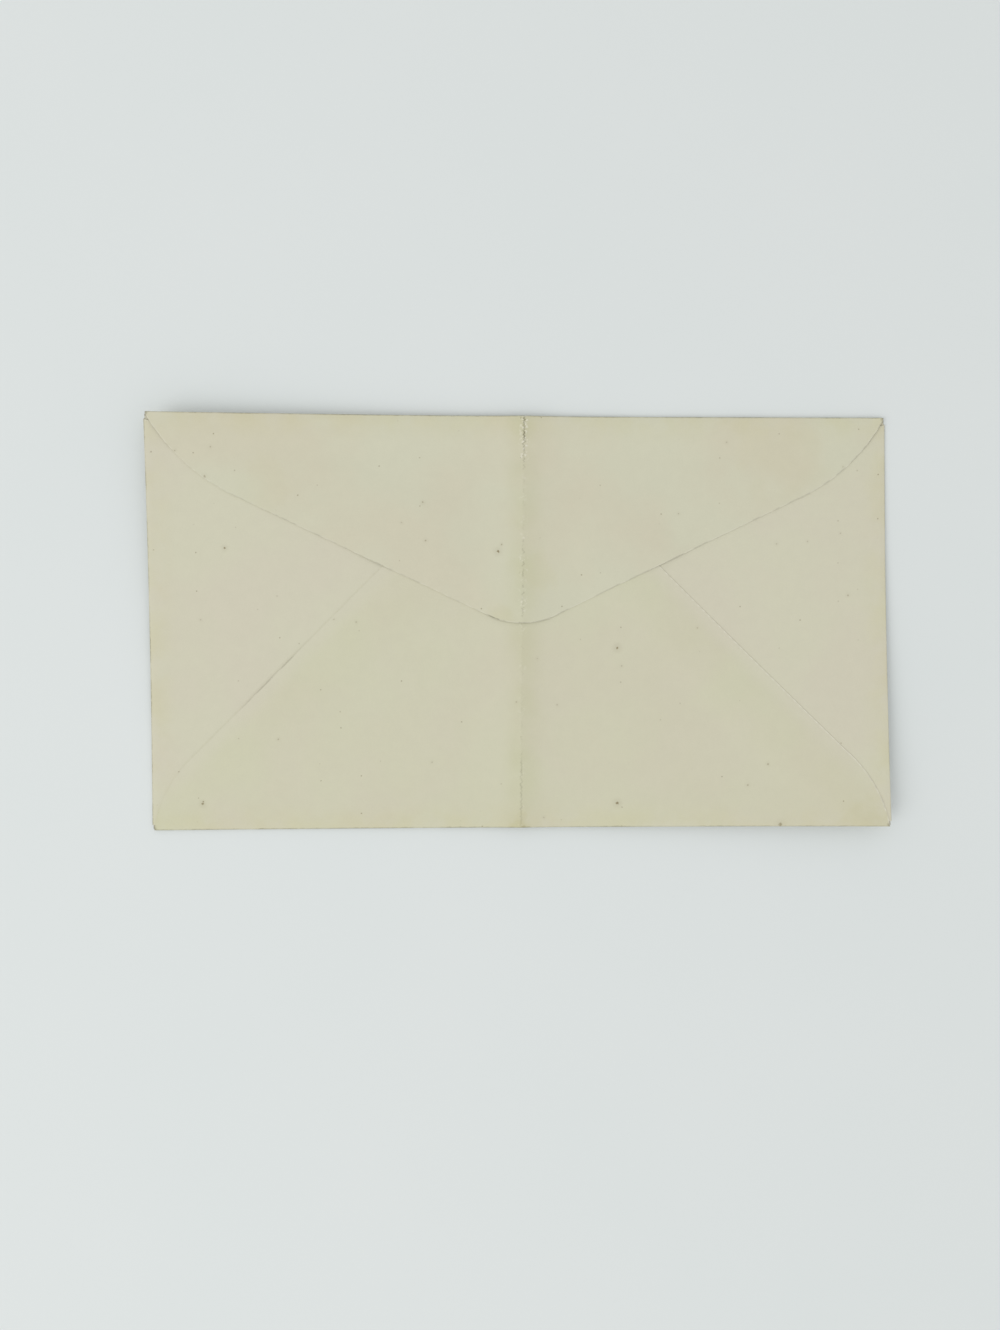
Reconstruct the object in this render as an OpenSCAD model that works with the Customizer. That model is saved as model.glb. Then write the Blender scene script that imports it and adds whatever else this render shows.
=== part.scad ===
// A commercial envelope with diagonal seams, folded from one sheet of paper and lying on its address side.
// The origin is under the middle of the envelope, X runs along its width and +Y points to the top fold.

/* [Envelope] */
// Width, from the left fold to the right fold
envelope_w = 165.1; // [150:0.1:190]
// Height, from the bottom fold to the top fold
envelope_h = 92.1; // [86:0.1:110]
// Width of the notch that is cut between two flaps at each corner, so that both can fold
corner_notch = 0.5; // [0.4:0.05:1.5]

/* [Paper] */
// Thickness of the paper
paper_t = 0.12; // [0.08:0.01:0.2]
// Air between two layers that lie on each other
layer_gap = 0.15; // [0.08:0.01:0.2]

/* [Seal flap] */
// Depth of the rounded tip below the top fold
flap_depth = 46.2; // [42:0.1:56]
// Slope of the two straight edges
flap_slope = 25.4; // [22:0.1:28]
// Radius of the tip
flap_tip_r = 17.5; // [8:0.5:30]
// Radius of the two shoulders that lead up to the top corners
flap_shoulder_r = 42; // [30:1:55]

/* [Bottom flap] */
// Height of the top edge, which the seal flap hides, above the bottom fold
back_h = 69; // [62:0.5:74]
// Slope of the two glued seams
seam_slope = 45; // [42:0.5:48]
// Height at which the straight part of a seam would meet the side fold
seam_start = 7.2; // [5:0.1:10]
// Radius of the two shoulders that lead down to the bottom corners
seam_shoulder_r = 28; // [20:1:40]
// Radius of the two top corners
back_corner_r = 9; // [3:0.5:15]

/* [Side flaps] */
// Width of side flap that lies under the bottom flap, across the seam
seam_lap = 8; // [6:0.5:11]
// Slope of the two top edges, which make the throat of the pocket
throat_slope = 20; // [16:0.5:22]
// Distance from the top fold to the top of each side fold
throat_drop = 1.5; // [1.2:0.1:4]
// Distance from the bottom fold to the foot of each side fold
side_foot = 1.2; // [1:0.1:3]
// Radius of the two tips
side_tip_r = 6; // [2:0.5:12]

/* [Glue] */
// Width of the glue line in each seam
glue_w = 4; // [2:0.5:5]
// Bare paper between the edge of the bottom flap and the glue
glue_inset = 1; // [0.5:0.1:1.5]

/* [Crease] */
// Height of the ridge that is left from folding the envelope in half
crease_rise = 0.6; // [0.2:0.1:1.5]
// Distance from the crease to where the paper lies flat again
crease_run = 14; // [8:0.5:24]
// Distance of the crease to the right of the middle
crease_x = 0; // [-10:0.5:10]

/* [Hidden] */

// The layers are counted up from the table
FRONT = 0;
SIDE = 1;
BACK = 2;
FLAP = 3;

// Number of straight pieces in a rounded outline, in a folded edge and in each half of the ridge
arc_steps = 12;
bend_steps = 8;
relax_steps = 5;
ring_sides = 48;

// How far a cutter reaches past what it cuts
spare = 1;

function layer_z(n) = n * (paper_t + layer_gap);
function fold_r(n) = (layer_z(n) + paper_t) / 2;

side_r = fold_r(SIDE);
bottom_r = fold_r(BACK);
top_r = fold_r(FLAP);
stack_t = layer_z(FLAP) + paper_t;
panel_x = envelope_w / 2 - side_r;
y_low = bottom_r - envelope_h / 2;
y_high = envelope_h / 2 - top_r;

function heading(a) = [cos(a), sin(a)];
function backwards(p) = [for (i = [len(p) - 1:-1:0]) p[i]];
function arc(centre, r, a0, a1) =
    [for (i = [0:arc_steps]) centre + r * heading(a0 + (a1 - a0) * i / arc_steps)];

// Rounds the corner at p, where a line that comes in at angle a0 leaves at angle a1
function round_corner(p, a0, a1, r) =
    let (turn = sign(a1 - a0),
         n0 = turn * heading(a0 + 90),
         n1 = turn * heading(a1 + 90),
         centre = p + r * (n0 + n1) / (1 + n0 * n1))
    arc(centre, r, a0 - turn * 90, a1 - turn * 90);

// Shoulder of a flap, from its corner notch to its straight edge. Points are [distance from the side fold,
// distance from the flap's own fold], and the straight edge would meet the side fold at the height start.
function shoulder(start, slope, r) =
    let (e = corner_notch,
         m = tan(slope),
         a = 1 + m * m,
         b = start * m - e,
         c = e * e + start * start - 2 * r * (e * sin(slope) + start * cos(slope)),
         s = (sqrt(b * b - a * c) - b) / a,
         centre = [s + r * sin(slope), start + s * m - r * cos(slope)])
    arc(centre, r, atan2(-centre[1], e - centre[0]), slope + 90);

function mirrored(p) = [for (q = backwards(p)) [envelope_w - q[0], q[1]]];

// Outlines as seen from above
flap_tip = flap_depth + flap_tip_r * (1 / cos(flap_slope) - 1);
flap_start = flap_tip - envelope_w / 2 * tan(flap_slope);
flap_shoulder = shoulder(flap_start, flap_slope, flap_shoulder_r);
flap_tip_arc = round_corner([envelope_w / 2, flap_tip], flap_slope, -flap_slope, flap_tip_r);

module flap_outline() {
    translate([-envelope_w / 2, envelope_h / 2])
        mirror([0, 1])
            polygon(concat(flap_shoulder, flap_tip_arc, mirrored(flap_shoulder)));
}

back_shoulder = shoulder(seam_start, seam_slope, seam_shoulder_r);
back_corner = round_corner([(back_h - seam_start) / tan(seam_slope), back_h], seam_slope, 0, back_corner_r);
back_half = concat(back_shoulder, back_corner);

module back_outline() {
    translate([-envelope_w / 2, -envelope_h / 2])
        polygon(concat(back_half, mirrored(back_half)));
}

// The lower edge of a side flap runs parallel to the seam, under the bottom flap
lap_start = seam_start - seam_lap / cos(seam_slope);
side_low = max(side_foot, lap_start);
side_high = envelope_h - throat_drop;
side_tip_x = (side_high - lap_start) / (tan(seam_slope) + tan(throat_slope));
side_tip = [side_tip_x, lap_start + side_tip_x * tan(seam_slope)];

module side_outline() {
    translate([-envelope_w / 2, -envelope_h / 2])
        polygon(concat(
            [[0, side_high], [0, side_low]],
            [[max(2 * side_r, (side_low - lap_start) / tan(seam_slope)), side_low]],
            round_corner(side_tip, seam_slope, 180 - throat_slope, side_tip_r)));
}

// A band along the seam, between two distances from the edge of the bottom flap
function seam_point(s, inside) =
    [s, seam_start + s * tan(seam_slope)] + inside * [sin(seam_slope), -cos(seam_slope)];
glue_low = back_shoulder[arc_steps][0];
glue_high = back_corner[0][0];

module glue_outline() {
    translate([-envelope_w / 2, -envelope_h / 2])
        polygon([
            seam_point(glue_low, glue_inset),
            seam_point(glue_low, glue_inset + glue_w),
            seam_point(glue_high, glue_inset + glue_w),
            seam_point(glue_high, glue_inset)]);
}

// Where the paper is creased it stands up in a low ridge, steepest at the crease. Points are [x, rise].
ridge = [for (i = [-relax_steps:relax_steps])
    [crease_x + crease_run * i / relax_steps, crease_rise * pow(1 - abs(i) / relax_steps, 2)]];

// A line in the XZ plane that lies at the height z and follows the ridge
function over(z, x_end) = concat([[-x_end, z]], [for (p = ridge) p + [0, z]], [[x_end, z]]);

module along_y(y0, y1) {
    translate([0, y1, 0])
        rotate([90, 0, 0])
            linear_extrude(height = y1 - y0)
                children();
}

// Part of a layer, cut to an outline that is seen from above
module sheet(z0, z1) {
    intersection() {
        along_y(y_low, y_high)
            polygon(concat(over(z0, panel_x), backwards(over(z1, panel_x))));
        translate([0, 0, -spare])
            linear_extrude(height = stack_t + crease_rise + 2 * spare)
                children();
    }
}

// Section of the long strip that makes the bottom flap, the front panel and the seal flap. Each entry holds
// a point on the outside of the paper and one on the inside, as [y, z].
function bend(y, r, a0, a1) =
    [for (i = [0:bend_steps])
        let (out = heading(a0 + (a1 - a0) * i / bend_steps))
        [[y, r] + r * out, [y, r] + (r - paper_t) * out]];
function free_end(y, z) = [[[y, z + paper_t], [y, z]]];
strip = concat(
    free_end(back_h - envelope_h / 2 + spare, layer_z(BACK)),
    bend(y_low, bottom_r, 90, 270),
    bend(y_high, top_r, -90, 90),
    free_end(envelope_h / 2 - flap_depth - spare, layer_z(FLAP)));
tip = len(strip) - 1;

// The strip, folded over at the bottom and the top and drawn out along the line of the ridge
module folded_strip() {
    line = over(layer_z(FRONT), panel_x);
    last = len(line) - 1;
    function at(i, j, face) = 2 * (i * len(strip) + j) + face;
    polyhedron(
        points = [for (p = line, q = strip, f = [0, 1]) [p[0], q[f][0], p[1] + q[f][1]]],
        faces = concat(
            [for (i = [0:last - 1], j = [0:tip - 1])
                [at(i, j, 0), at(i + 1, j, 0), at(i + 1, j + 1, 0), at(i, j + 1, 0)]],
            [for (i = [0:last - 1], j = [0:tip - 1])
                [at(i, j, 1), at(i, j + 1, 1), at(i + 1, j + 1, 1), at(i + 1, j, 1)]],
            [for (i = [0:last - 1])
                [at(i + 1, 0, 0), at(i, 0, 0), at(i, 0, 1), at(i + 1, 0, 1)]],
            [for (i = [0:last - 1])
                [at(i, tip, 0), at(i + 1, tip, 0), at(i + 1, tip, 1), at(i, tip, 1)]],
            [for (j = [0:tip - 1])
                [at(0, j, 0), at(0, j + 1, 0), at(0, j + 1, 1), at(0, j, 1)]],
            [for (j = [0:tip - 1])
                [at(last, j + 1, 0), at(last, j, 0), at(last, j, 1), at(last, j + 1, 1)]]));
}

// What is cut away around a flap: all that lies between two heights and outside the flap's outline
module trimming(z0, z1) {
    difference() {
        along_y(y_low, y_high)
            polygon(concat(over(z0, envelope_w), backwards(over(z1, envelope_w))));
        translate([0, 0, -spare])
            linear_extrude(height = stack_t + crease_rise + 3 * spare)
                children();
    }
}

module corner_notches() {
    for (x = [-1, 1], y = [-1, 1])
        translate([x * envelope_w / 2, y * envelope_h / 2, 0])
            cube(2 * [corner_notch, corner_notch, stack_t + spare], center = true);
}

// The turn of paper between the front panel and a side flap
module side_fold() {
    translate([-panel_x, 0, side_r])
        along_y(side_low - envelope_h / 2, side_high - envelope_h / 2)
            difference() {
                circle(r = side_r, $fn = ring_sides);
                circle(r = side_r - paper_t, $fn = ring_sides);
                translate([0, -envelope_h])
                    square(2 * envelope_h);
            }
}

module both_sides() {
    children();
    mirror([1, 0, 0])
        children();
}

module envelope() {
    color([0.80, 0.78, 0.70]) {
        difference() {
            folded_strip();
            trimming(layer_z(BACK) - layer_gap / 2, layer_z(FLAP) - layer_gap / 2)
                back_outline();
            trimming(layer_z(FLAP) - layer_gap / 2, stack_t + spare)
                flap_outline();
            corner_notches();
        }
        both_sides()
            side_fold();
        sheet(layer_z(SIDE), layer_z(SIDE) + paper_t)
            both_sides()
                side_outline();
        sheet(layer_z(BACK) - layer_gap, layer_z(BACK))
            both_sides()
                glue_outline();
    }
}

envelope();
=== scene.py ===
import math

import bmesh
import bpy
import numpy as np
from mathutils import Color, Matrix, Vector, noise
from mathutils.kdtree import KDTree


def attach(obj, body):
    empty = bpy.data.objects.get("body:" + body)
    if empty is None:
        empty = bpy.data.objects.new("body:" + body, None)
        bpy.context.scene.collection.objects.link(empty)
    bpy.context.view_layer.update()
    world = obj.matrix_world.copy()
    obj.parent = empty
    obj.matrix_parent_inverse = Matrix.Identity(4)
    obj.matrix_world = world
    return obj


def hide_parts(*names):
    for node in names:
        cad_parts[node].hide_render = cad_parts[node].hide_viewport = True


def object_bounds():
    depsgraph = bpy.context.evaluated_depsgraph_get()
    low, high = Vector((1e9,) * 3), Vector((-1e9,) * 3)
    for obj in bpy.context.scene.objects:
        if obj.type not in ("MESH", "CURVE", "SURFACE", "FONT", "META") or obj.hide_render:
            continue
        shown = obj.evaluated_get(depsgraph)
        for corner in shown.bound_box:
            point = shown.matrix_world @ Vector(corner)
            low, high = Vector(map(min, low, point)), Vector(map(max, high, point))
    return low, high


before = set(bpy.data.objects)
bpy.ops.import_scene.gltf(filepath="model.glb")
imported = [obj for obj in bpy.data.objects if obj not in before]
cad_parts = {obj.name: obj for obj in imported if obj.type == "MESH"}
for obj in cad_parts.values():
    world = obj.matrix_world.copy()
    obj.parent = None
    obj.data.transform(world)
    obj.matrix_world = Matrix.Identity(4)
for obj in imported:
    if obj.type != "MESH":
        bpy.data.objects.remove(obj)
cad_low, cad_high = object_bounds()


# Front panel. The envelope is one sheet of uncoated writing paper, die cut with a flap on each side.
# This rectangle in the middle of the blank carries the address and lies face down on the table.
# The cream paper has yellowed and foxed, and its folds, edges and corners are dirty from handling. The
# corners also carry painted shade from the small gap at each.
MM = 0.001
PAPER = 0.12 * MM
AIR = 0.15 * MM
CELL = 1.2 * MM
NOTCH = 0.5 * MM
SIDE, BOTTOM, SEAL = 1, 2, 3
half_w = cad_high.x
half_h = cad_high.y


def level(layer):
    """Height of the middle of a layer of paper. The front panel is layer 0, and the seal flap is layer 3."""
    return PAPER / 2 + layer * (PAPER + AIR)


def roll(layer):
    """Radius, to the middle of the paper, of the fold that leads up to a layer."""
    return layer * (PAPER + AIR) / 2


def cut_across(place, direction, **settings):
    """Cuts a straight line across all of the sheet that isn't hidden."""
    bpy.ops.mesh.select_all(action="SELECT")
    bpy.ops.mesh.bisect(plane_co=(*place, 0), plane_no=(*direction, 0), **settings)


side_x = half_w - PAPER / 2 - roll(SIDE)
notch_x = half_w - NOTCH
top_y = half_h - PAPER / 2 - roll(SEAL)
bottom_y = PAPER / 2 + roll(BOTTOM) - half_h

bpy.ops.object.select_all(action="DESELECT")
bpy.ops.mesh.primitive_grid_add(
    x_subdivisions=2 * round(side_x / CELL), y_subdivisions=round((top_y - bottom_y) / CELL),
    size=1, location=(0, (top_y + bottom_y) / 2, level(0)))
sheet = bpy.context.object
sheet.name = "folded_sheet"
sheet.scale = (2 * side_x, top_y - bottom_y, 1)
bpy.ops.object.transform_apply(location=True, rotation=True, scale=True)
bpy.ops.object.mode_set(mode="EDIT")
for x in (-notch_x, notch_x):
    cut_across((x, 0), (1, 0))
sheet.data.materials.clear()


def rgb(red, green, blue):
    """A colour as a screen shows it, each part from 0 to 255, made linear as a shader takes it."""
    return (*Color((red / 255, green / 255, blue / 255)).from_srgb_to_scene_linear(), 1)


# The first four are tints that the paper's own colour is multiplied by
EDGE_YELLOW = rgb(251, 249, 233)
STAIN = rgb(246, 244, 227)
DULL = rgb(247, 248, 240)
LAP_TINT = rgb(248, 251, 238)
# Pale flecks of broken surface, and painted light along cut edges
FLECK_AND_PAINTED_LIGHT = rgb(226, 223, 208)
# Dark colour of dirt and grime, and of painted shade at the corners and by the seal flap's tip
DIRT_AND_SHADE = rgb(112, 108, 84)
RUST = rgb(122, 108, 72)


def add(tree, kind, inputs, **settings):
    """Adds a shader node. Each input is a socket and its value, or the output that feeds it."""
    made = tree.nodes.new(kind)
    for name, value in settings.items():
        setattr(made, name, value)
    for socket, value in inputs:
        if isinstance(value, bpy.types.NodeSocket):
            tree.links.new(value, made.inputs[socket])
        else:
            made.inputs[socket].default_value = value
    return made


def calc(tree, operation, *values):
    """Works out one step of arithmetic with two or three values."""
    return add(tree, "ShaderNodeMath", enumerate(values), operation=operation).outputs[0]


def times(tree, first, *others):
    """Multiplies values with each other."""
    product = first
    for value in others:
        product = calc(tree, "MULTIPLY", product, value)
    return product


def vector(tree, operation, *values):
    """Works out one step of arithmetic with places. The length of a place is a plain value."""
    made = add(tree, "ShaderNodeVectorMath", enumerate(values), operation=operation)
    return made.outputs["Value" if operation == "LENGTH" else "Vector"]


def split(tree, place):
    """Gives the X, Y and Z of a place."""
    return add(tree, "ShaderNodeSeparateXYZ", [("Vector", place)]).outputs


def fade(tree, value, start, end, low=0.0, high=1.0):
    """Runs smoothly from low, where the value is at start, to high, where it is at end."""
    limits = [("Value", value), ("From Min", start), ("From Max", end), ("To Min", low), ("To Max", high)]
    return add(tree, "ShaderNodeMapRange", limits, interpolation_type="SMOOTHSTEP").outputs["Result"]


def clouds(tree, place, size, detail=2.0, roughness=0.5):
    """Noise from 0 to 1 with lumps of about this size."""
    inputs = [("Vector", place), ("Scale", 1 / size), ("Detail", detail), ("Roughness", roughness)]
    return add(tree, "ShaderNodeTexNoise", inputs).outputs[0]


def over(tree, share, under, top, blend="MIX"):
    """Lays one colour over another by a share from 0 to 1."""
    inputs = [(0, share), (6, under), (7, top)]
    return add(tree, "ShaderNodeMix", inputs, data_type="RGBA", blend_type=blend).outputs[2]


def start_group(name, inputs, outputs):
    """Opens a node group, and gives its tree, what comes in and where its results go."""
    tree = bpy.data.node_groups.new(name, "ShaderNodeTree")
    for direction, sockets in (("INPUT", inputs), ("OUTPUT", outputs)):
        for label, kind in sockets:
            tree.interface.new_socket(label, in_out=direction, socket_type="NodeSocket" + kind)
    return tree, tree.nodes.new("NodeGroupInput").outputs, tree.nodes.new("NodeGroupOutput").inputs


def fill_group(tree, group, inputs):
    """Adds one use of a node group, and gives what comes out of it."""
    return add(tree, "ShaderNodeGroup", inputs, node_tree=group).outputs


# Old paper. Sizes of lumps, fibres and specks in millimetres, and how the two lies of fibres are drawn out:
TONING_SIZE = 26
MOTTLE_SIZE = 2.4
GRAIN_SIZE = 0.3
FIBRE_WIDTH = 0.22
FIBRE_LIES = ((1, 0.22, 1), (0.22, 1, 1))
SPECK_SPACING = 4.5
SPECK_SIZE = (0.05, 0.085)
BARE_OF_SPECKS = 0.87


def make_old_paper():
    """Broad clouds of toning, a fine mottle, felted fibres, a grain and a scatter of fine specks."""
    tree, given, result = start_group(
        "old paper", [("Place", "Vector"), ("Pale", "Color"), ("Toned", "Color")],
        [("Color", "Color"), ("Height", "Float"), ("Specks", "Float")])
    place = given["Place"]
    toning = fade(tree, clouds(tree, place, TONING_SIZE, detail=3), 0.36, 0.64)
    mottle = clouds(tree, place, MOTTLE_SIZE, detail=4, roughness=0.65)
    grain = clouds(tree, place, GRAIN_SIZE, detail=3, roughness=0.7)
    felt = 0.0
    for lie in FIBRE_LIES:
        strands = clouds(tree, vector(tree, "MULTIPLY", place, lie), FIBRE_WIDTH, detail=1)
        off_line = calc(tree, "ABSOLUTE", calc(tree, "SUBTRACT", strands, 0.5))
        felt = calc(tree, "ADD", fade(tree, off_line, 0, 0.03, 1, 0), felt)

    lightness = calc(tree, "ADD", fade(tree, mottle, 0.3, 0.7, 0.99, 1.006),
                     fade(tree, grain, 0.25, 0.75, -0.01, 0.01))
    lightness = calc(tree, "MULTIPLY_ADD", felt, 0.008, lightness)
    tone = over(tree, toning, given["Pale"], given["Toned"])
    scaled = add(tree, "ShaderNodeVectorMath", [(0, tone), ("Scale", lightness)], operation="SCALE")
    tree.links.new(scaled.outputs["Vector"], result["Color"])

    cells = add(tree, "ShaderNodeTexVoronoi", [("Vector", place), ("Scale", 1 / SPECK_SPACING)],
                voronoi_dimensions="2D").outputs
    chance = add(tree, "ShaderNodeSeparateColor", [("Color", cells["Color"])]).outputs["Red"]
    ragged = calc(tree, "MULTIPLY_ADD", grain, 0.07, cells["Distance"])
    specks = times(tree, fade(tree, ragged, *SPECK_SIZE, 1, 0), fade(tree, chance, BARE_OF_SPECKS, 1, 0, 0.6))
    tree.links.new(specks, result["Specks"])

    relief = calc(tree, "MULTIPLY_ADD", mottle, 0.8, grain)
    tree.links.new(calc(tree, "MULTIPLY_ADD", felt, 0.15, relief), result["Height"])
    return tree


# Fox spot. How ragged it is, and the distances in radii between which its core and its faint halo fade.
RAGGED_RIM = 1.8
CORE_RIM = (0.35, 1.1)
HALO_RIM = (0.5, 4)
HALO_STRENGTH = 0.14


def make_fox_spot():
    """One rusty spot with a ragged rim and a faint halo."""
    tree, given, result = start_group(
        "fox spot", [("Place", "Vector"), ("Centre", "Vector"), ("Radius", "Float"), ("Ragged", "Float")],
        [("Mask", "Float")])
    offset = vector(tree, "SUBTRACT", given["Place"], given["Centre"])
    offset = vector(tree, "MULTIPLY", offset, (1, 1, 0))
    away = calc(tree, "DIVIDE", vector(tree, "LENGTH", offset), given["Radius"])
    away = calc(tree, "MULTIPLY_ADD", calc(tree, "SUBTRACT", given["Ragged"], 0.5), RAGGED_RIM, away)
    core = fade(tree, away, *CORE_RIM, 1, 0)
    halo = fade(tree, away, *HALO_RIM, HALO_STRENGTH, 0)
    tree.links.new(calc(tree, "MAXIMUM", core, halo), result["Mask"])
    return tree


# Worn crease. It lies a little off the middle, in millimetres, and slants by this share of the height.
CREASE_X = 0.135
CREASE_SLANT = 0.0115
# How far its line jumps, and the distances from it between which the line fades, the flecks beside it fade,
# and the dull band fades on the left and on the right.
JAG = 2.5
LINE_RIM = (0.07, 0.22)
FLECK_BAND = (0.2, 1.3)
DULL_LEFT = (-5.5, -0.6)
DULL_RIGHT = (0, 6.5)
# The heights between which the wear comes or goes, in millimetres from the middle of the envelope.
WORN_TOP = (32, 42.5)
CRACKED_TOP = (35, 39.5)
FLAP_TIP = (0, 1)
ABOVE_TIP = (22, 14)
WORN_FOOT = (-28.5, -31.5)
FLECKED_FOOT = (-28, -31)


def make_worn_crease():
    """A jagged dirty line where the fibres have cracked, pale flecks of broken surface beside it, and a dull
    band next to it. It is worn most at its two ends and just above the tip of the seal flap."""
    tree, given, result = start_group(
        "worn crease", [("Place", "Vector")], [("Line", "Float"), ("Flecks", "Float"), ("Dull", "Float")])
    place = given["Place"]
    axes = split(tree, place)
    y = axes["Y"]
    along = add(tree, "ShaderNodeCombineXYZ", [("Y", y)]).outputs[0]
    from_path = calc(tree, "SUBTRACT", axes["X"], calc(tree, "MULTIPLY_ADD", y, CREASE_SLANT, CREASE_X))
    jagged = calc(tree, "SUBTRACT", clouds(tree, along, size=0.8, detail=4, roughness=0.8), 0.5)
    from_line = calc(tree, "ABSOLUTE", calc(tree, "MULTIPLY_ADD", jagged, JAG, from_path))

    at_top = fade(tree, y, *CRACKED_TOP)
    at_foot = fade(tree, y, *WORN_FOOT)
    tip_wear = times(tree, fade(tree, y, *FLAP_TIP, 0, 0.2), fade(tree, y, *ABOVE_TIP))
    wear = calc(tree, "ADD", times(tree, at_foot, 0.24), tip_wear)
    wear = calc(tree, "ADD", fade(tree, y, *WORN_TOP, 0.1, 0.85), wear)

    broken = fade(tree, clouds(tree, along, size=1.7, detail=3), 0.46, 0.56, 0.05, 1)
    for at_end in (at_top, at_foot):
        broken = calc(tree, "MAXIMUM", broken, times(tree, at_end, 0.6))
    tree.links.new(times(tree, fade(tree, from_line, *LINE_RIM, 1, 0), broken, wear), result["Line"])

    flecks = fade(tree, clouds(tree, place, size=0.6, roughness=0.6), 0.53, 0.6)
    near = fade(tree, from_line, *FLECK_BAND, 1, 0)
    in_groups = calc(tree, "MAXIMUM", fade(tree, clouds(tree, along, size=3), 0.45, 0.6), at_top)
    where_worn = calc(tree, "MINIMUM", times(tree, wear, 2.5), 1)
    fewer = fade(tree, y, *FLECKED_FOOT, 1, 0.3)
    tree.links.new(times(tree, flecks, near, in_groups, where_worn, fewer), result["Flecks"])

    uneven = fade(tree, clouds(tree, place, size=9), 0.3, 0.7, 0.3, 0.9)
    band = times(tree, fade(tree, from_path, *DULL_LEFT), fade(tree, from_path, *DULL_RIGHT, 1, 0), uneven)
    tree.links.new(band, result["Dull"])
    return tree


# Handled edges. Distances from a fold or a corner between which the dirt, the corners' dirt and painted
# shade, and the yellow fade, and where the rim is cleaner on the right, in millimetres.
RIM_DIRT = (0.25, 0.6)
CORNER_DIRT_AND_SHADE = (1.1, 2)
YELLOW_BAND = (0, 7)
CLEANER_RIGHT = (80, 82)


def make_handled_edges():
    """A thin broken line of dirt on the four outer folds, dirt and painted shade at the corners for the small
    gap there, and yellower paper next to them."""
    tree, given, result = start_group(
        "handled edges", [("Place", "Vector"), ("Half Size", "Vector")],
        [("Dirt And Shade", "Float"), ("Yellow", "Float")])
    place = given["Place"]
    inside = split(tree, vector(tree, "SUBTRACT", given["Half Size"], vector(tree, "ABSOLUTE", place)))
    ragged = clouds(tree, place, size=1.1, detail=3, roughness=0.7)
    patchy = clouds(tree, place, size=7, detail=3, roughness=0.6)
    from_rim = calc(tree, "MINIMUM", inside["X"], inside["Y"])
    rim_dirt = times(
        tree, fade(tree, calc(tree, "MULTIPLY_ADD", ragged, 0.5, from_rim), *RIM_DIRT, 1, 0),
        fade(tree, patchy, 0.35, 0.6, 0.35, 1), fade(tree, split(tree, place)["X"], *CLEANER_RIGHT, 1, 0.3))
    # The corners are painted darker: dirt, and painted shade of the small gap there
    corner = add(tree, "ShaderNodeCombineXYZ", [("X", inside["X"]), ("Y", inside["Y"])]).outputs[0]
    from_corner = calc(tree, "MULTIPLY_ADD", ragged, 1.2, vector(tree, "LENGTH", corner))
    dirt_and_shade = calc(tree, "MAXIMUM", rim_dirt, fade(tree, from_corner, *CORNER_DIRT_AND_SHADE, 1, 0))
    tree.links.new(dirt_and_shade, result["Dirt And Shade"])
    yellow = times(tree, fade(tree, from_rim, *YELLOW_BAND, 1, 0), fade(tree, patchy, 0.3, 0.7))
    tree.links.new(yellow, result["Yellow"])
    return tree


old_paper = make_old_paper()
fox_spot = make_fox_spot()
worn_crease = make_worn_crease()
handled_edges = make_handled_edges()


def marks(tree, place, ragged, spots):
    """Gives the mask of each spot. A spot is x, y and radius in millimetres, and strength."""
    for x, y, radius, strength in spots:
        inputs = [("Place", place), ("Centre", (x, y, 0)), ("Radius", radius), ("Ragged", ragged)]
        yield times(tree, fill_group(tree, fox_spot, inputs)["Mask"], strength)


def from_sheet(tree, name):
    """Reads a value that is written on the sheet where the way it lies is worked out."""
    return add(tree, "ShaderNodeAttribute", [], attribute_name=name).outputs["Fac"]


# How strongly each effect shows where it is strongest, from 0 to 1
YELLOW_SHARE = 0.5
FLECK_SHARE = 0.8
CREASE_SHARE = 0.85
RIM_SHARE = 0.6
# Width of a cut edge that shows painted light, or a dark line of grime and painted shadow, in millimetres,
# and the height of the finest relief
CUT_WIDTH = 0.3
RELIEF = 0.02 * MM
# Heights of the crease's dirty line and of its flecks, as shares of that relief
LINE_HEIGHT = -2.5
FLECK_HEIGHT = 1.5


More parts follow.
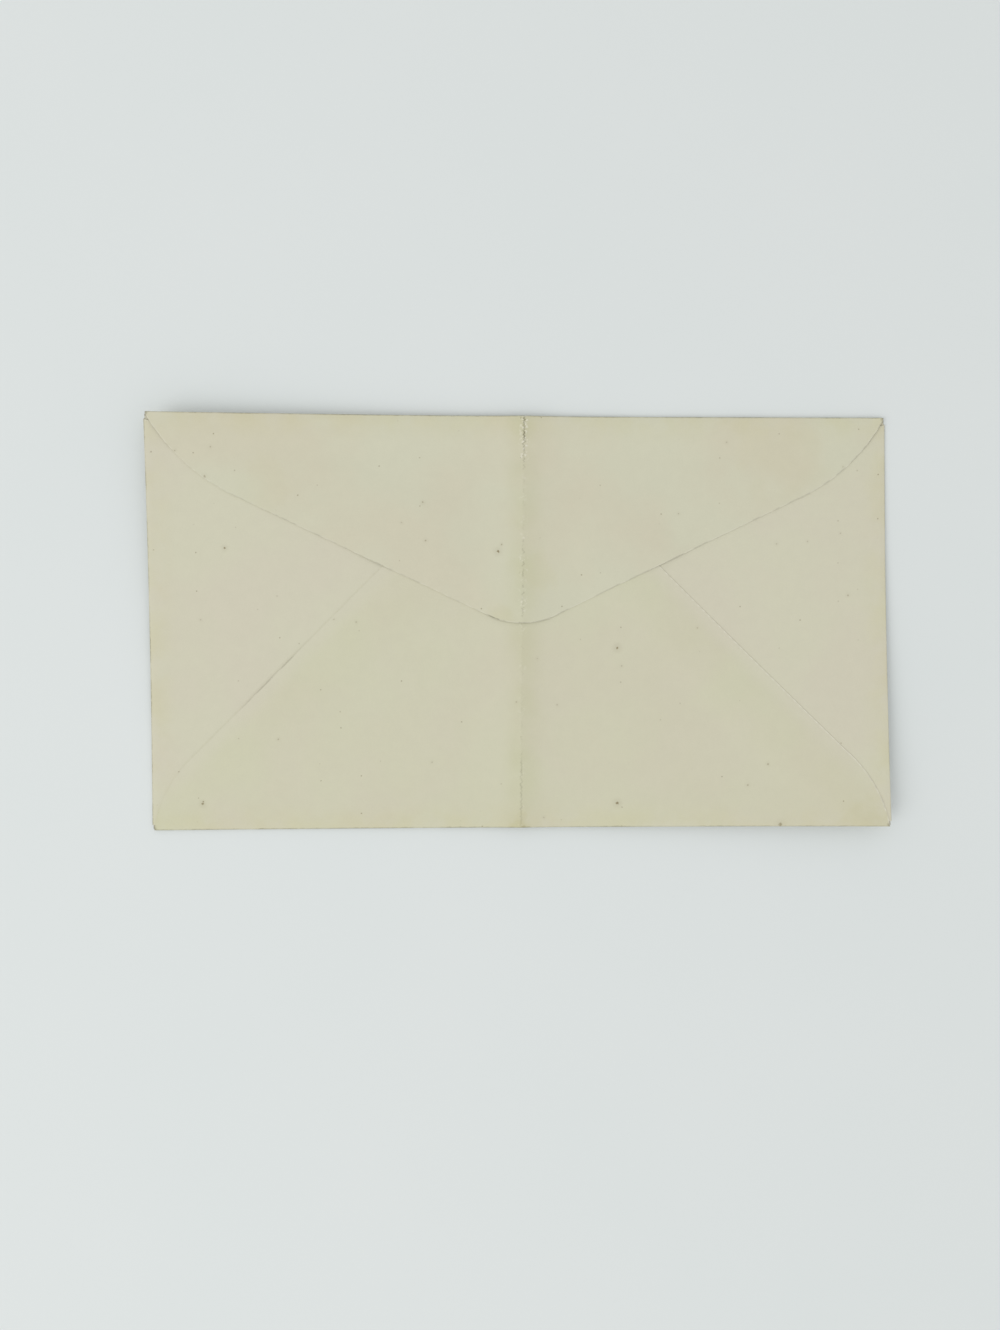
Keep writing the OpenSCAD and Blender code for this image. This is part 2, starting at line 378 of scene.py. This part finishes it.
def paper_finish(name, pale, toned, spots=(), stains=(), dulled=None):
    """Makes the finish of one part of the sheet, with foxing spots and with stains, which are listed alike.
    What is dulled is given by a function that makes a mask from the place."""
    material = bpy.data.materials.new(name)
    material.use_nodes = True
    tree = material.node_tree
    shader = tree.nodes["Principled BSDF"]
    here = tree.nodes.new("ShaderNodeTexCoord").outputs["Object"]
    place = vector(tree, "DIVIDE", here, (MM, MM, MM))
    half_size = (half_w / MM, half_h / MM, 0)
    paper = fill_group(tree, old_paper, [("Place", place), ("Pale", pale), ("Toned", toned)])
    crease = fill_group(tree, worn_crease, [("Place", place)])
    edges = fill_group(tree, handled_edges, [("Place", place), ("Half Size", half_size)])
    from_cut = from_sheet(tree, "from_cut")

    colour = over(tree, times(tree, edges["Yellow"], YELLOW_SHARE), paper["Color"], EDGE_YELLOW, "MULTIPLY")
    for stain in marks(tree, place, clouds(tree, place, size=6, detail=3), stains):
        colour = over(tree, stain, colour, STAIN, "MULTIPLY")
    if dulled:
        colour = over(tree, dulled(tree, place), colour, LAP_TINT, "MULTIPLY")
    colour = over(tree, crease["Dull"], colour, DULL, "MULTIPLY")
    colour = over(tree, times(tree, crease["Flecks"], FLECK_SHARE), colour, FLECK_AND_PAINTED_LIGHT)
    # Cut edges painted pale: partly a paler cut, partly painted light that cancels the shade of the step
    # beside them
    cut_pale_and_painted_light = times(tree, fade(tree, from_cut, 0, CUT_WIDTH, 1, 0), from_sheet(tree, "cut_pale_and_painted_light"))
    colour = over(tree, cut_pale_and_painted_light, colour, FLECK_AND_PAINTED_LIGHT)

    # A dark line along cut edges: grime on the seams and the seal flap, and painted shadow left of the flap's
    # tip
    broken = fade(tree, clouds(tree, place, size=3, detail=3), 0.42, 0.58, 0.1, 1)
    cut_line = times(tree, fade(tree, from_cut, 0.02, CUT_WIDTH, 1, 0), broken, from_sheet(tree, "grime_and_shadow"))
    # Dirt on the crease and the rims, and dirt with painted shade at the corners
    dirt_and_shade = calc(tree, "MAXIMUM", times(tree, crease["Line"], CREASE_SHARE),
                times(tree, edges["Dirt And Shade"], RIM_SHARE))
    colour = over(tree, calc(tree, "MAXIMUM", dirt_and_shade, cut_line), colour, DIRT_AND_SHADE)
    foxing = paper["Specks"]
    for spot in marks(tree, place, clouds(tree, place, size=0.45), spots):
        foxing = calc(tree, "MAXIMUM", spot, foxing)
    tree.links.new(over(tree, foxing, colour, RUST), shader.inputs["Base Color"])

    shader.inputs["Roughness"].default_value = 0.92
    shader.inputs["Specular IOR Level"].default_value = 0.25
    height = calc(tree, "MULTIPLY_ADD", crease["Line"], LINE_HEIGHT, paper["Height"])
    height = calc(tree, "MULTIPLY_ADD", crease["Flecks"], FLECK_HEIGHT, height)
    bump = add(tree, "ShaderNodeBump", [("Height", height), ("Strength", 1), ("Distance", RELIEF)])
    tree.links.new(bump.outputs["Normal"], shader.inputs["Normal"])
    sheet.data.materials.append(material)


paper_finish("address_side", pale=rgb(205, 202, 180), toned=rgb(203, 198, 175),
             spots=((-31, 12, 0.3, 0.5), (44, -20, 0.35, 0.5), (12, 31, 0.25, 0.4), (-58, -28, 0.3, 0.5)))


# Side flaps. They are folded over from the front panel first, and the bottom flap is glued on top of them.
# Their tips nearly meet in the middle, and their sloping top edges make the throat of the pocket.
TINY = 0.01 * MM
FOLD_STEPS = 8
ARC_STEPS = 12
SEAM_START = 7.2 * MM
SEAM_SLOPE = math.radians(45)
LAP = 8 * MM
THROAT_SLOPE = math.radians(20)
THROAT_DROP = 1.5 * MM
SIDE_FOOT = 1.2 * MM
SIDE_TIP_R = 6 * MM


def pick(kind, test):
    """Selects the edges or faces of the sheet that lie wholly where the test says, and no others."""
    bpy.ops.mesh.select_mode(type=kind)
    bpy.ops.mesh.select_all(action="DESELECT")
    mesh = bmesh.from_edit_mesh(sheet.data)
    for item in mesh.edges if kind == "EDGE" else mesh.faces:
        if not item.hide and all(test(corner.co) for corner in item.verts):
            item.select_set(True)
    mesh.select_flush_mode()
    bmesh.update_edit_mesh(sheet.data)


def fold_over(on_fold, centre, axis, inwards, reach):
    """Rolls the paper up and back over the panel at a row of its edges, and carries it on flat for a way."""
    pick("EDGE", on_fold)
    bpy.ops.mesh.spin(steps=FOLD_STEPS, angle=math.pi, center=centre, axis=axis)
    rows = round(reach / CELL)
    for _ in range(rows):
        bpy.ops.mesh.extrude_region_move(
            TRANSFORM_OT_translate={"value": Vector(inwards) * reach / rows})


def take(in_flap):
    """Hides all but the flap in hand."""
    pick("FACE", in_flap)
    bpy.ops.mesh.hide(unselected=True)


def round_off(centre, radius, start, end):
    """Trims the flap in hand to a round outline, with straight cuts that touch a circle. The outline runs
    straight on past both ends. Start and end are the directions that point outwards there."""
    for i in range(ARC_STEPS + 1):
        outwards = start.slerp(end, i / ARC_STEPS)
        cut_across(centre + radius * outwards, outwards, clear_outer=True)


def trim_corner(corner, start, end, radius):
    """Trims the flap in hand along two straight lines and rounds the corner where they meet."""
    round_off(corner - radius * (start + end) / (1 + start.dot(end)), radius, start, end)


def lay_finish(slot):
    """Gives the finish in a material slot to the faces that are selected."""
    sheet.active_material_index = slot
    bpy.ops.object.material_slot_assign()


low_side = SIDE_FOOT - half_h
high_side = half_h - THROAT_DROP
for y in (low_side, high_side):
    cut_across((0, y), (0, 1))

lap_start = SEAM_START - LAP / math.cos(SEAM_SLOPE)
side_reach = (2 * half_h - THROAT_DROP - lap_start) / (math.tan(SEAM_SLOPE) + math.tan(THROAT_SLOPE))
side_tip_y = lap_start + side_reach * math.tan(SEAM_SLOPE) - half_h
for hand in (-1, 1):
    fold_over(
        lambda co: abs(co.x - hand * side_x) < TINY and low_side - TINY < co.y < high_side + TINY,
        (hand * side_x, 0, level(0) + roll(SIDE)), (0, hand, 0), (-hand, 0, 0), side_x - half_w + side_reach)
    take(lambda co: co.z > level(SIDE) - TINY and co.x * hand > 0)
    trim_corner(
        Vector((hand * (half_w - side_reach), side_tip_y)),
        Vector((-hand * math.sin(SEAM_SLOPE), -math.cos(SEAM_SLOPE))),
        Vector((-hand * math.sin(THROAT_SLOPE), math.cos(THROAT_SLOPE))), SIDE_TIP_R)
    bpy.ops.mesh.reveal(select=False)

paper_finish(
    "side_flaps", pale=rgb(204, 202, 180), toned=rgb(204, 200, 180), spots=(
        (-65.8, 16.6, 0.3, 0.75), (-71.4, 0.8, 0.2, 0.4), (-54.5, 6, 0.15, 0.3), (57.8, 17.6, 0.2, 0.45),
        (64.8, 18.1, 0.2, 0.4), (72.3, 19.9, 0.2, 0.4), (73.9, 5.9, 0.25, 0.45)))
pick("FACE", lambda co: co.z > level(0) + TINY or abs(co.x) > side_x - TINY)
lay_finish(SIDE)


# Bottom flap. It is folded up over the side flaps and glued to them along two diagonal seams.
# Round shoulders lead its edges down to the corners, and the seal flap hides its top edge.
BACK_H = 69 * MM
BACK_CORNER_R = 9 * MM
SEAM_SHOULDER_R = 28 * MM


def trim_shoulder(hand, fold_y, away, start, slope, radius):
    """Trims the round shoulder between a corner of the envelope and the straight edge of a flap. The straight
    edge would meet the side fold at the distance start from the flap's own fold. The sign of away says which
    way the flap runs from there."""
    rise = math.tan(slope)
    a = 1 + rise * rise
    b = start * rise - NOTCH
    c = NOTCH ** 2 + start ** 2 - 2 * radius * (NOTCH * math.sin(slope) + start * math.cos(slope))
    along = (math.sqrt(b * b - a * c) - b) / a
    centre = Vector((
        hand * (half_w - along - radius * math.sin(slope)),
        fold_y + away * (start + along * rise - radius * math.cos(slope))))
    corner = Vector((hand * (half_w - NOTCH), fold_y))
    round_off(centre, radius, (corner - centre).normalized(),
              Vector((hand * math.sin(slope), away * math.cos(slope))))


fold_over(
    lambda co: abs(co.y - bottom_y) < TINY and abs(co.x) < notch_x + TINY,
    (0, bottom_y, level(0) + roll(BOTTOM)), (1, 0, 0), (0, 1, 0), BACK_H - half_h - bottom_y)
take(lambda co: co.z > level(SIDE) + TINY or co.y < bottom_y + TINY)
for hand in (-1, 1):
    trim_shoulder(hand, bottom_y, 1, SEAM_START - bottom_y - half_h, SEAM_SLOPE, SEAM_SHOULDER_R)
    trim_corner(
        Vector((hand * (half_w - (BACK_H - SEAM_START) / math.tan(SEAM_SLOPE)), BACK_H - half_h)),
        Vector((hand * math.sin(SEAM_SLOPE), math.cos(SEAM_SLOPE))), Vector((0, 1)), BACK_CORNER_R)
bpy.ops.mesh.reveal(select=False)


def glued_seams(tree, place):
    """Duller paper away from the seams, most of all where the flap is stuck down on the side flap below."""
    axes = split(tree, place)
    from_side = calc(tree, "SUBTRACT", half_w / MM, calc(tree, "ABSOLUTE", axes["X"]))
    from_start = calc(tree, "ADD", axes["Y"], (half_h - SEAM_START) / MM)
    from_seam = calc(tree, "SUBTRACT", times(tree, from_side, math.sin(SEAM_SLOPE)),
                     times(tree, from_start, math.cos(SEAM_SLOPE)))
    patchy = fade(tree, clouds(tree, place, size=11, detail=3), 0.3, 0.65, 0.7, 1)
    inwards = times(tree, fade(tree, from_seam, 0, 0.6 * LAP / MM, 0, 0.45),
                    fade(tree, from_seam, 0.8 * LAP / MM, 2 * LAP / MM, 1, 0.6))
    return times(tree, patchy, inwards)


paper_finish(
    "bottom_flap", pale=rgb(204, 202, 180), toned=rgb(204, 200, 180), dulled=glued_seams, spots=(
        (21.5, -5.8, 0.4, 0.85), (21.3, -40.7, 0.4, 0.8), (-71.3, -40.2, 0.35, 0.75), (-42, 0.8, 0.2, 0.4),
        (-37, 0.2, 0.2, 0.45), (22.5, -9.9, 0.2, 0.4), (3.4, -8.1, 0.2, 0.4), (-1.3, -17.9, 0.2, 0.4),
        (7.9, -18.6, 0.2, 0.4), (-54.5, -25.9, 0.25, 0.45), (-20.3, -31.3, 0.2, 0.4), (4.7, -43.8, 0.2, 0.4),
        (55.3, -32.1, 0.25, 0.45), (50.7, -36.8, 0.25, 0.45), (39.6, -1.4, 0.2, 0.35),
        (49.9, -5.3, 0.2, 0.35), (57.7, -45.6, 0.5, 0.6), (-71.2, -39.7, 0.2, 0.6), (0.2, -45.9, 0.6, 0.25)),
    stains=((-0.9, -46.3, 2.3, 0.5), (-0.5, -43.5, 1.6, 0.35), (77.5, -46.5, 7, 0.4)))
pick("FACE", lambda co: co.z > level(SIDE) + TINY or co.y < bottom_y + TINY)
lay_finish(BOTTOM)


# Seal flap. It is folded down last and lies closed over the throat, unsealed.
# Its edges run straight from two round shoulders to a round tip just above the middle of the back.
FLAP_DEPTH = 46.2 * MM
FLAP_SLOPE = math.radians(25.4)
FLAP_TIP_R = 17.5 * MM
FLAP_SHOULDER_R = 42 * MM

sharp_depth = FLAP_DEPTH + FLAP_TIP_R * (1 / math.cos(FLAP_SLOPE) - 1)
flap_start = sharp_depth - half_w * math.tan(FLAP_SLOPE)
fold_over(
    lambda co: abs(co.y - top_y) < TINY and abs(co.x) < notch_x + TINY,
    (0, top_y, level(0) + roll(SEAL)), (-1, 0, 0), (0, -1, 0), top_y - half_h + FLAP_DEPTH)
take(lambda co: co.z > level(BOTTOM) + TINY or co.y > top_y - TINY)
for hand in (-1, 1):
    trim_shoulder(hand, top_y, -1, flap_start - half_h + top_y, FLAP_SLOPE, FLAP_SHOULDER_R)
trim_corner(
    Vector((0, half_h - sharp_depth)), Vector((-math.sin(FLAP_SLOPE), -math.cos(FLAP_SLOPE))),
    Vector((math.sin(FLAP_SLOPE), -math.cos(FLAP_SLOPE))), FLAP_TIP_R)
bpy.ops.mesh.reveal(select=False)

paper_finish(
    "seal_flap", pale=rgb(203, 202, 180), toned=rgb(203, 199, 177), spots=(
        (-5.3, 15.9, 0.4, 0.8), (-4.5, 17.4, 0.2, 0.5), (-69.8, 32.2, 0.3, 0.45), (-22, 26.8, 0.25, 0.55),
        (-26.8, 22.3, 0.2, 0.4), (-21.5, 18.3, 0.25, 0.5), (35.4, 24.3, 0.2, 0.4), (46.3, 40.4, 0.2, 0.4),
        (72.9, 34.9, 0.2, 0.4), (-68.3, 38.6, 0.2, 0.4), (-76, 37.7, 0.2, 0.4)),
    stains=((-55.6, 30.5, 8, 0.15), (59.7, 36.9, 12, 0.15), (3, 11, 6, 0.25), (-5, 1.8, 3.5, 0.4)))
pick("FACE", lambda co: co.z > level(BOTTOM) + TINY or co.y > top_y - TINY)
lay_finish(SEAL)


# How the paper lies. The envelope was once folded in half and opened again, which left a low worn ridge. Its
# upper left and lower right corners have curled up off the table. Each layer has sunk a little onto what is
# under it, the seams are stuck down, and the tip of the seal flap stands slightly proud.
CREASE_RISE = 0.6 * MM
CREASE_RUN = 14 * MM
CREASE_ROWS = (-0.6 * MM, -0.25 * MM, 0.25 * MM, 0.6 * MM)
CURLS = ((-1, 1, 4.2 * MM), (1, -1, 4 * MM))
CURL_ALONG = 125 * MM
CURL_DOWN = 90 * MM
SINK = 0.85 * (PAPER + AIR)
STUCK = AIR - 0.015 * MM
TIP_LIFT = 0.12 * MM
COCKLE = 0.12 * MM
COCKLE_SIZE = 28 * MM
# A layer sinks between these distances from the edge of what is under it, and less near its own fold
SAG = (1.5 * MM, 9 * MM)
FOLD_SAG = (0, 10 * MM)
# A cut edge is pressed down in a band of this width, and the bottom flap only where a side flap is under it
PRESSED_BAND = (0, 5 * MM)
LAP_END = (1.2 * MM, 4 * MM)
# The left seam has come open between these heights
OPEN_FOOT = (-21 * MM, -15 * MM)
OPEN_TOP = (-3 * MM, -9 * MM)
# Distances from the tip of the seal flap between which it comes down, and its edge is pressed on again
TIP_RAISED = (2 * MM, 12 * MM)
TIP_FREE = (3 * MM, 14 * MM)
# How far down the seal flap's edge is pressed, and between which places on the left it comes all the way down
FLAP_CLOSE = 0.92
CLOSEST = (-55 * MM, -66 * MM)
# A corner belongs to a layer if its height is less than this share of a step away from it
SAME_LAYER = 0.1
# Strength of the grime on the seams and the seal flap, and the places in X between which it comes
SEAM_GRIME = 0.35
LOW_RIGHT = (76 * MM, 79 * MM)
FLAP_GRIME = 0.3
GRIMY_FLAP = (-72 * MM, -62 * MM)
# Strength of the painted shadow, a dark stroke left of the tip where it stands up, how far left it lies, and
# the distances between which it fades
STROKE_PAINTED_SHADOW = 0.5
STROKE_LEFT = 4 * MM
STROKE_RIM = (2.5 * MM, 6 * MM)
# How strongly a cut edge is painted pale, as a paler cut and as painted light against the shade of its step,
# on the right seam and elsewhere, and where the right seam begins
SEAM_PAINTED_LIGHT = 0.85
PALE_AND_PAINTED_LIGHT_ELSEWHERE = 0.42
RIGHT_SEAM = (-5 * MM, 5 * MM)

for x in CREASE_ROWS:
    cut_across((x, 0), (1, 0))
bpy.ops.mesh.select_all(action="SELECT")
bpy.ops.mesh.flip_normals()
bpy.ops.object.mode_set(mode="OBJECT")


def ease(value, start, end):
    """Runs smoothly from 0, where the value is at start, to 1, where it is at end."""
    share = np.clip((value - start) / (end - start), 0, 1)
    return share * share * (3 - 2 * share)


def distances(marks, places):
    """How far each place is from the nearest of the marks."""
    tree = KDTree(len(marks))
    for i, mark in enumerate(marks):
        tree.insert(mark, i)
    tree.balance()
    return np.array([tree.find(place)[2] for place in places])


def write_on_sheet(name, values):
    """Keeps a value at each corner of the sheet's faces, where the finishes read it."""
    sheet.data.attributes.new(name, "FLOAT", "POINT").data.foreach_set("value", values)


places = np.array([corner.co for corner in sheet.data.vertices])
x, y, z = places.T
layer = (z - level(0)) / (PAPER + AIR)
on_side, on_bottom, on_seal = (abs(layer - number) < SAME_LAYER for number in (SIDE, BOTTOM, SEAL))

# Distance from the nearest cut edge of the same layer. The layers are drawn far apart for it, and the edges
# are marked at a few points each.
LAYER_APART = 20 * MM
EDGE_MARKS = 4
apart = np.stack([x, y, layer * LAYER_APART], axis=1)
shape = bmesh.new()
shape.from_mesh(sheet.data)
rim = np.array([[edge.verts[0].index, edge.verts[1].index] for edge in shape.edges if edge.is_boundary])
shape.free()
start, end = apart[rim[:, 0]], apart[rim[:, 1]]
marked = np.concatenate([start + (end - start) * i / EDGE_MARKS for i in range(EDGE_MARKS)])
from_cut = distances(marked, apart)
write_on_sheet("from_cut", from_cut / MM)

from_above = np.stack([x, y, 0 * z], axis=1)
from_side_flap = distances(from_above[on_side], from_above)
from_bottom_flap = distances(from_above[on_bottom], from_above)
sunk = np.where(on_bottom | on_seal, ease(from_side_flap, *SAG), 0)
sunk += np.where(on_seal, ease(from_bottom_flap, *SAG), 0)
sunk *= ease(np.minimum(top_y - y, y - bottom_y), *FOLD_SAG)

# The seal flap lies closest at its left end. The tip stands up, and its edge with it.
at_cut = 1 - ease(from_cut, *PRESSED_BAND)
from_tip = np.hypot(x, y - half_h + FLAP_DEPTH)
open_seam = ease(y, *OPEN_FOOT) * ease(y, *OPEN_TOP) * (x < 0)
close = FLAP_CLOSE + (1 - FLAP_CLOSE) * ease(x, *CLOSEST)
stuck = np.where(on_bottom, at_cut * (1 - ease(from_side_flap, *LAP_END)) * (1 - open_seam), 0)
stuck += np.where(on_seal, at_cut * close * ease(from_tip, *TIP_FREE), 0)
lift = np.where(on_seal, TIP_LIFT * (1 - ease(from_tip, *TIP_RAISED)), 0)

# Grime has gathered where the left seam is open, low on the right seam and along the seal flap, and a painted
# shadow makes a dark stroke just left of its tip, where it stands up. Cut edges are painted pale, partly as
# painted light against the shade of the step beside them, most of all along the right seam, and only the left
# seam has none.
from_stroke = np.hypot(x + STROKE_LEFT, y - half_h + FLAP_DEPTH)
seam_grime = SEAM_GRIME * np.maximum(open_seam, ease(x, *LOW_RIGHT))
flap_grime_and_shadow = ease(x, *GRIMY_FLAP) * (FLAP_GRIME + STROKE_PAINTED_SHADOW * (1 - ease(from_stroke, *STROKE_RIM)))
write_on_sheet("grime_and_shadow", np.where(on_bottom, seam_grime, np.where(on_seal, flap_grime_and_shadow, 0)))
write_on_sheet("cut_pale_and_painted_light", np.where(on_bottom, SEAM_PAINTED_LIGHT * ease(x, *RIGHT_SEAM), PALE_AND_PAINTED_LIGHT_ELSEWHERE))

crease = CREASE_X * MM + CREASE_SLANT * y
from_crease = np.clip(1 - abs(x) / CREASE_RUN, 0, 1)
rise = CREASE_RISE * from_crease ** 2
for hand, end, height in CURLS:
    share = 1 - (half_w - hand * x) / CURL_ALONG - (half_h - end * y) / CURL_DOWN
    rise += height * np.clip(share, 0, 1) ** 2
rise += [COCKLE * noise.noise(Vector((*place[:2], 0)) / COCKLE_SIZE) for place in places]
z = z - SINK * sunk - STUCK * stuck + lift + rise
z += PAPER / 2 - z.min()
x = x + crease * from_crease
sheet.data.vertices.foreach_set("co", np.stack([x, y, z], axis=1).ravel())
sheet.data.update()


# Thickness and inside. The sheet is a little over a tenth of a millimetre thick. Its inner side has seen no
# light and little handling, so it is paler and cleaner.
paper_finish("inside", pale=rgb(211, 208, 190), toned=rgb(209, 205, 186))
solid = sheet.modifiers.new("thickness", "SOLIDIFY")
solid.thickness = PAPER
solid.offset = 0
solid.material_offset = len(sheet.data.materials)
bpy.ops.object.modifier_apply(modifier=solid.name)
bpy.ops.object.shade_smooth_by_angle(angle=math.radians(40))
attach(sheet, "root")
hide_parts("envelope")


# Table, lights and camera. The envelope lies on a plain pale table in soft light from the left. The camera
# looks almost straight down on it, and its focal length is given in pixels of the photo.
TABLE_PALE = rgb(219, 223, 222)
TABLE_GREY = rgb(215, 221, 220)
FOCAL_PIXELS = 1000
PHOTO_PIXELS_HIGH = 1330
SENSOR_HIGH = 36

bpy.ops.object.select_all(action="DESELECT")
bpy.ops.mesh.primitive_plane_add(size=4, location=(0, 0, 0))
table = bpy.context.object
table.name = "table_top"
pale_board = bpy.data.materials.new("pale_board")
pale_board.use_nodes = True
board = pale_board.node_tree
coating = board.nodes["Principled BSDF"].inputs
place = board.nodes.new("ShaderNodeTexCoord").outputs["Object"]
lumps = clouds(board, place, size=0.06, detail=4)
board.links.new(over(board, lumps, TABLE_PALE, TABLE_GREY), coating["Base Color"])
coating["Roughness"].default_value = 0.8
coating["Specular IOR Level"].default_value = 0.2
table.data.materials.append(pale_board)

bpy.ops.object.light_add(type="AREA", location=(-1.1, -0.54, 1.0))
lamp = bpy.context.object
lamp.data.size = 1.0
lamp.data.energy = 8.5
lamp.rotation_mode = "QUATERNION"
lamp.rotation_quaternion = lamp.location.to_track_quat("Z", "Y")

world = bpy.data.worlds.new("studio")
bpy.context.scene.world = world
world.use_nodes = True
daylight = world.node_tree.nodes["Background"].inputs
daylight["Color"].default_value = (1, 1, 1, 1)
daylight["Strength"].default_value = 0.82

camera_data = bpy.data.cameras.new("camera")
camera = bpy.data.objects.new("camera", camera_data)
bpy.context.scene.collection.objects.link(camera)
camera_data.lens = FOCAL_PIXELS * SENSOR_HIGH / PHOTO_PIXELS_HIGH
camera.location = (-0.0118, -0.0069, 0.225)
camera.rotation_mode = "ZYX"
camera.rotation_euler = (-math.radians(0.68), -math.radians(1.75), -math.radians(0.26))
bpy.context.scene.camera = camera

bpy.context.scene.view_settings.view_transform = "Standard"
